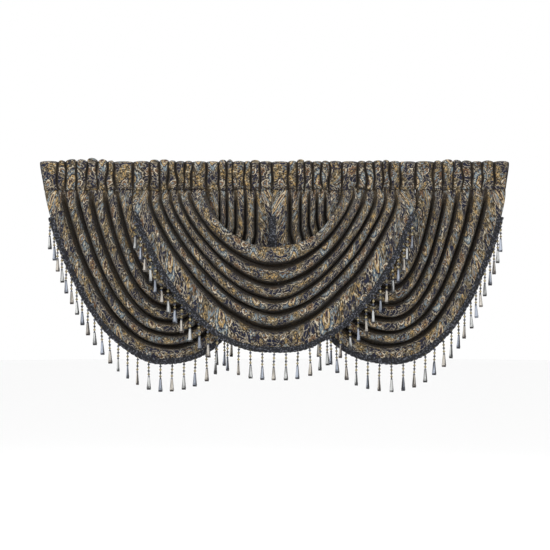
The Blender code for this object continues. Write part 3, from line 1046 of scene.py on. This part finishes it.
def drop_roots(hem, out):
    """Where the bead strings leave the braid, but none that would hang in the one below it."""
    run = run_along(hem, 0)
    count = int((run[-1] - DROP_SPACING / 2) / DROP_SPACING) + 1
    first = (run[-1] - (count - 1) * DROP_SPACING) / 2
    places = hem + out * STRING_OUT - np.array([0, STRING_FORWARD, 0])
    at = first + DROP_SPACING * np.arange(count)
    roots = np.stack([np.interp(at, run, places[:, axis]) for axis in range(3)], axis=1)
    lowest = int(np.argmin(roots[:, 2]))
    kept = [lowest]
    for side in (range(lowest - 1, -1, -1), range(lowest + 1, count)):
        last = lowest
        for place in side:
            if abs(roots[place, 0] - roots[last, 0]) >= DROP_CLEARANCE:
                kept.append(place)
                last = place
    return roots[sorted(kept)]


def geometry_tree(name, inputs):
    """A geometry tree with named inputs, and its input and output nodes."""
    mesh = [("Geometry", "Geometry")]
    return new_tree("GeometryNodeTree", name, mesh + inputs + [("Material", "Material")], mesh)


def finish_tree(tree, geometry, start, end):
    """Ends a geometry tree in real geometry with its material."""
    real = output(tree, "GeometryNodeRealizeInstances", {0: geometry})
    made = {"Geometry": real, "Material": start.outputs["Material"]}
    fill(tree, end, {0: output(tree, "GeometryNodeSetMaterial", made)})


def object_mesh(tree, start, label):
    """The mesh of the object that comes in at this socket."""
    return add_node(tree, "GeometryNodeObjectInfo", {"Object": start.outputs[label]}).outputs["Geometry"]


def cord_tube(tree, curve, sides, radius):
    """A closed tube along a curve."""
    ring = output(tree, "GeometryNodeCurvePrimitiveCircle", {"Resolution": sides, "Radius": radius})
    return output(tree, "GeometryNodeCurveToMesh", {"Curve": curve, "Profile Curve": ring, "Fill Caps": True})


def braid_tree():
    """Cords that are plaited along a band, and one that loops out below it."""
    labels = ("Pitch", "Radius", "Step", "Scallop", "Scallop pitch")
    sockets = [("Path", "Object")] + [(label, "Float") for label in labels]
    tree, start, end = geometry_tree("Braid cords", sockets)
    pitch, radius, step, scallop, scallop_pitch = given(tree, start, *labels)
    curve = output(tree, "GeometryNodeMeshToCurve", {"Mesh": object_mesh(tree, start, "Path")})
    curve = output(tree, "GeometryNodeResampleCurve", {"Curve": curve, "Length": step}, mode="LENGTH")
    length = Signal(tree, add_node(tree, "GeometryNodeSplineParameter").outputs["Length"])
    out = output(tree, "GeometryNodeInputNamedAttribute", {"Name": "out"}, data_type="FLOAT_VECTOR")
    turn = length / pitch * (2 * math.pi)
    loop = (length / scallop_pitch * math.pi).math("SINE").math("ABSOLUTE").math("SQRT")
    waves = [(cord, (turn + cord.phase).math("SINE") * cord.wave + cord.middle) for cord in BRAID_CORDS]
    waves.append((LOOPED_CORD, loop * scallop + LOOPED_CORD.middle))
    cords = add_node(tree, "GeometryNodeJoinGeometry", {0: start.outputs["Geometry"]})
    for cord, across in waves:
        sideways = output(tree, "ShaderNodeVectorMath", {0: out, "Scale": across}, operation="SCALE")
        height = (turn * 2.0 + (2 * cord.phase + 0.8)).math("SINE") * -cord.lift - CORD_FORWARD * MM
        forward = output(tree, "ShaderNodeCombineXYZ", {1: height})
        offset = output(tree, "ShaderNodeVectorMath", {0: sideways, 1: forward}, operation="ADD")
        moved = output(tree, "GeometryNodeSetPosition", {"Geometry": curve, "Offset": offset})
        fill(tree, cords, {0: cord_tube(tree, moved, 6, radius * cord.radius)})
    finish_tree(tree, cords.outputs[0], start, end)


def random_turn(tree, limits, seed):
    """A random turn for each point, up to these limits about x, y and z either way."""
    low, high = (
        output(tree, "ShaderNodeCombineXYZ", {axis: limit * way for axis, limit in enumerate(limits)})
        for way in (-1.0, 1.0)
    )
    return output(tree, "FunctionNodeRandomValue", {0: low, 1: high, "Seed": seed}, data_type="FLOAT_VECTOR")


def swaying_lines(tree, start, count, first, pitch):
    """A straight line of points that hangs from each root, each line a little out of plumb."""
    drop = output(tree, "ShaderNodeCombineXYZ", {2: first * -1.0})
    step = output(tree, "ShaderNodeCombineXYZ", {2: pitch * -1.0})
    line = {"Count": count, "Start Location": drop, "Offset": step}
    line = output(tree, "GeometryNodeMeshLine", line, mode="OFFSET")
    kinds, kind, sway = given(tree, start, "Kinds", "Kind", "Sway")
    index = Signal(tree, output(tree, "GeometryNodeInputIndex"))
    chosen = (index.math("MODULO", kinds) - kind).math("ABSOLUTE").math("LESS_THAN", 0.5)
    hung = {"Points": start.outputs["Geometry"], "Selection": chosen, "Instance": line}
    hung["Rotation"] = random_turn(tree, (sway * 0.4, sway), SWAY_SEED)
    hung = output(tree, "GeometryNodeInstanceOnPoints", hung)
    return output(tree, "GeometryNodeRealizeInstances", {0: hung})


HANGING_INPUTS = [("Kinds", "Int"), ("Kind", "Int"), ("Sway", "Float")]


def bead_tree():
    """The same shape hung at even steps below each root."""
    labels = ("First", "Pitch", "Turn")
    sockets = [("Shape", "Object"), ("Count", "Int")] + [(label, "Float") for label in labels]
    tree, start, end = geometry_tree("Hanging beads", HANGING_INPUTS + sockets)
    first, pitch, turn = given(tree, start, *labels)
    placed = {"Points": swaying_lines(tree, start, start.outputs["Count"], first, pitch)}
    placed["Instance"] = object_mesh(tree, start, "Shape")
    placed["Rotation"] = random_turn(tree, (*BEAD_TILT, turn), SPIN_SEED)
    finish_tree(tree, output(tree, "GeometryNodeInstanceOnPoints", placed), start, end)


def string_tree():
    """A thin thread from each root down to its drop."""
    sockets = [("Above", "Float"), ("Length", "Float")]
    tree, start, end = geometry_tree("Hanging threads", HANGING_INPUTS + sockets)
    above, length = given(tree, start, "Above", "Length")
    lines = swaying_lines(tree, start, 2, above * -1.0, length + above)
    curve = output(tree, "GeometryNodeMeshToCurve", {"Mesh": lines})
    finish_tree(tree, cord_tube(tree, curve, 5, THREAD_RADIUS * MM), start, end)


def grown(made, tree_name, values):
    """Runs a geometry tree on an object and keeps the result as its plain mesh."""
    modifier = made.modifiers.new("Nodes", "NODES")
    modifier.node_group = bpy.data.node_groups[tree_name]
    for socket in modifier.node_group.interface.items_tree:
        if socket.in_out == "INPUT" and socket.name in values:
            modifier[socket.identifier] = values[socket.name]
    graph = bpy.context.evaluated_depsgraph_get()
    dressed = made.evaluated_get(graph)
    mesh = bpy.data.meshes.new_from_object(dressed, preserve_all_data_layers=True, depsgraph=graph)
    made.modifiers.remove(modifier)
    made.data = mesh
    return made


def turned_shape(name, rings, sides, flatness=1.0):
    """A faceted bead or drop about the z axis, to be hung many times.

    The attribute facet is how much painted dark reflection each facet and the rim below the last ring but one
    get in the crystal finish.
    """
    around = 2 * np.pi * (np.arange(sides) + 0.5) / sides
    x, y = np.cos(around), np.sin(around)
    points = [
        np.stack([ring.radius * x, ring.radius * y * flatness, np.full(sides, -ring.level)], axis=1)
        for ring in rings
    ]
    mesh = tube_mesh(name, np.array(points))
    tones = []
    for face in mesh.polygons:
        if face.center.z < -rings[-2].level * MM:
            tones.append(RIM_REFLECTION_TONE)
        else:
            side = int(np.degrees(np.arctan2(face.center.y / flatness, face.center.x)) % 360 * sides / 360)
            tones.append(FACET_REFLECTION_TONES[side % len(FACET_REFLECTION_TONES)])
    mesh.attributes.new("facet", "FLOAT", "FACE").data.foreach_set("value", tones)
    return linked(name, mesh)


# Operators


def riding(piece, slot, *replaced):
    """Fixes a piece to the valances' one body, in place of the plain solids that it stands for."""
    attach(piece, "root")
    for node in replaced:
        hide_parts(node)


def two_decimals(values):
    """A flat size in metres, to the centimetre."""
    return tuple(round(value, 2) for value in values)


class VALANCE_OT_materials(bpy.types.Operator):
    """Make the cloth, yarn and bead finishes"""

    bl_idname = "valance.materials"
    bl_label = "Finishes"

    def execute(self, context):
        paisley_pattern()
        thread_weave()
        jacquard_front(context.scene.valance_cloth)
        jacquard_reverse(context.scene.valance_cloth)
        braid_yarn(context.scene.valance_trim)
        bead_finish("Gunmetal beads", (0.09, 0.10, 0.14), (0.018, 0.02, 0.032))
        bead_finish("Olive gold beads", (0.38, 0.31, 0.16), (0.15, 0.12, 0.06))
        bead_finish("Bronze seed beads", (0.24, 0.20, 0.11), (0.03, 0.03, 0.026))
        # The second colour of each crystal is its painted dark reflections.
        crystal_finish("Clear crystal", (0.66, 0.67, 0.66), (0.022, 0.022, 0.022))
        crystal_finish("Smoke crystal", (0.44, 0.48, 0.56), (0.012, 0.014, 0.022))
        crystal_finish("Rose crystal", (0.60, 0.56, 0.50), (0.030, 0.022, 0.018))
        return {"FINISHED"}


class VALANCE_OT_pockets(bpy.types.Operator):
    """Make the six gathered rod pockets"""

    bl_idname = "valance.pockets"
    bl_label = "Rod pockets"

    def execute(self, context):
        cloth = context.scene.valance_cloth
        for name, pocket in POCKETS.items():
            mesh, flat = pocket_sheet(name.removeprefix("pocket_"), pocket, cloth)
            made = cloth_piece(mesh, cloth.thickness)
            riding(made, "jacquard", name)
        return {"FINISHED"}


class VALANCE_OT_swags(bpy.types.Operator):
    """Make the three swags of cloth, with the braid, threads, beads and crystals on their hems"""

    bl_idname = "valance.swags"
    bl_label = "Swags and trims"

    def execute(self, context):
        cloth = context.scene.valance_cloth
        trim = context.scene.valance_trim
        braid_tree()
        bead_tree()
        string_tree()
        shapes = {
            "beads": turned_shape("bead_shape", BEAD_RINGS, 8),
            "seeds": turned_shape("seed_shape", SEED_RINGS, 6),
            "caps": turned_shape("cap_shape", CAP_RINGS, 8),
            "crystals": turned_shape("crystal_shape", CRYSTAL_RINGS, 8, 0.5),
        }
        for seed, (name, swag) in enumerate(SWAGS.items()):
            mesh, grid, flat, area = swag_sheet(name, swag, cloth, 11.0 + 5 * seed)
            sheet = cloth_piece(mesh, cloth.thickness)
            pieces = self.make_trim(name, grid, cloth, trim, shapes)
            riding(sheet, "jacquard", "cloth_" + name)
            riding(pieces[0], "braid", "trim_" + name)
            for piece in pieces[1:]:
                riding(piece, "braid")
            flat, area = two_decimals(flat), round(area, 3)
        for shape in shapes.values():
            bpy.data.objects.remove(shape)
        return {"FINISHED"}

    def make_trim(self, name, grid, cloth, trim, shapes):
        """The braid on one hem, and then what hangs from it."""
        upper, hem, out = hem_rails(grid, cloth)
        roots = drop_roots(hem, out)
        path = linked("path_" + name, path_mesh("path_" + name, hem - np.array([0, BRAID_FORWARD, 0]), out))
        band = braid_band(name, upper, hem, out, trim.scallop)
        braid = linked("braid_" + name, band, bpy.data.materials["Braid yarn"])
        cords = {
            "Path": path,
            "Pitch": trim.plait_pitch,
            "Radius": trim.cord_radius,
            "Step": CORD_STEP * MM,
            "Scallop": trim.scallop,
            "Scallop pitch": SCALLOP_PITCH * MM,
            "Material": bpy.data.materials["Braid yarn"],
        }
        pieces = [grown(braid, "Braid cords", cords)]
        bpy.data.objects.remove(path)
        for piece, kinds, kind, shape, count, top, pitch, turn, finish in HANGINGS:
            mesh = bpy.data.meshes.new(piece)
            mesh.from_pydata((roots * MM).tolist(), [], [])
            values = {
                "Kinds": kinds,
                "Kind": kind,
                "Sway": trim.sway,
                "Count": count,
                "First": top * MM,
                "Pitch": pitch * MM,
                "Turn": turn,
                "Above": THREAD_ABOVE * MM,
                "Length": STRING_LENGTH * MM,
                "Material": bpy.data.materials[finish],
            }
            if shape:
                values["Shape"] = shapes[shape]
            tree_name = "Hanging beads" if shape else "Hanging threads"
            pieces.append(grown(linked(f"{piece}_{name}", mesh), tree_name, values))
        return pieces


class VALANCE_OT_stage(bpy.types.Operator):
    """Make the pale floor, the soft light and the camera"""

    bl_idname = "valance.stage"
    bl_label = "Stage"

    def execute(self, context):
        scene = context.scene
        settings = scene.valance_stage
        rim = 2 * np.pi * np.arange(FLOOR_SIDES) / FLOOR_SIDES
        floor_mesh = bpy.data.meshes.new("floor")
        height = np.full(FLOOR_SIDES, settings.floor_level)
        points = np.stack([FLOOR_RADIUS * np.cos(rim), FLOOR_RADIUS * np.sin(rim), height], axis=1)
        floor_mesh.from_pydata(points.tolist(), [], [tuple(range(FLOOR_SIDES))])
        tree, shader = principled("Pale floor")
        tone = noise_value(tree, object_place(tree), 3.0, 2.0)
        fill(tree, shader, {"Base Color": rgba((0.95, 0.95, 0.95)), "Roughness": tone * 0.06 + 0.62})
        linked("floor", floor_mesh, bpy.data.materials["Pale floor"])

        world = bpy.data.worlds.new("Pale room")
        world.use_nodes = True
        background = world.node_tree.nodes["Background"]
        fill(world.node_tree, background, {"Color": rgba((1.0, 1.0, 1.0)), "Strength": 1.0})
        scene.world = world
        middle = Vector((0.0, 0.0, 0.5 * SOLID_BOX[0][2]))
        for name, place, size, power in LIGHTS:
            light = bpy.data.lights.new(name, "AREA")
            light.shape = "RECTANGLE"
            light.size, light.size_y = size
            light.energy = power
            lamp = bpy.data.objects.new(name, light)
            lamp.location = place
            lamp.rotation_euler = (middle - Vector(place)).to_track_quat("-Z", "Y").to_euler()
            scene.collection.objects.link(lamp)

        lens = bpy.data.cameras.new("Camera")
        lens.lens = lens.sensor_width * settings.camera_distance / settings.picture_width
        camera = bpy.data.objects.new("Camera", lens)
        camera.location = (PICTURE_MIDDLE.x * MM, -settings.camera_distance, PICTURE_MIDDLE.z * MM)
        camera.rotation_euler = (math.pi / 2, 0.0, 0.0)
        scene.collection.objects.link(camera)
        scene.camera = camera
        scene.view_settings.view_transform = "Standard"
        return {"FINISHED"}


class VALANCE_PT_panel(bpy.types.Panel):
    """Lists the steps that make the valances"""

    bl_idname = "VALANCE_PT_panel"
    bl_label = "Waterfall Valances"
    bl_space_type = "VIEW_3D"
    bl_region_type = "UI"
    bl_category = "Valances"

    def draw(self, context):
        layout = self.layout
        for group in ("valance_cloth", "valance_trim", "valance_stage"):
            settings = getattr(context.scene, group)
            for name in settings.bl_rna.properties.keys():
                if name not in ("rna_type", "name"):
                    layout.prop(settings, name)
        for step in STEPS:
            layout.operator(step.bl_idname)


GROUPS = {"valance_cloth": ValanceCloth, "valance_trim": ValanceTrim, "valance_stage": ValanceStage}
STEPS = (VALANCE_OT_materials, VALANCE_OT_pockets, VALANCE_OT_swags, VALANCE_OT_stage)


def register():
    for group in GROUPS.values():
        bpy.utils.register_class(group)
    for name, group in GROUPS.items():
        setattr(bpy.types.Scene, name, bpy.props.PointerProperty(type=group))
    for made in (*STEPS, VALANCE_PT_panel):
        bpy.utils.register_class(made)


def unregister():
    for made in reversed((*STEPS, VALANCE_PT_panel)):
        bpy.utils.unregister_class(made)
    for name in GROUPS:
        delattr(bpy.types.Scene, name)
    for group in reversed(GROUPS.values()):
        bpy.utils.unregister_class(group)


def main():
    register()
    bpy.ops.valance.materials()
    bpy.ops.valance.pockets()
    bpy.ops.valance.swags()
    bpy.ops.valance.stage()


if __name__ == "__main__":
    main()
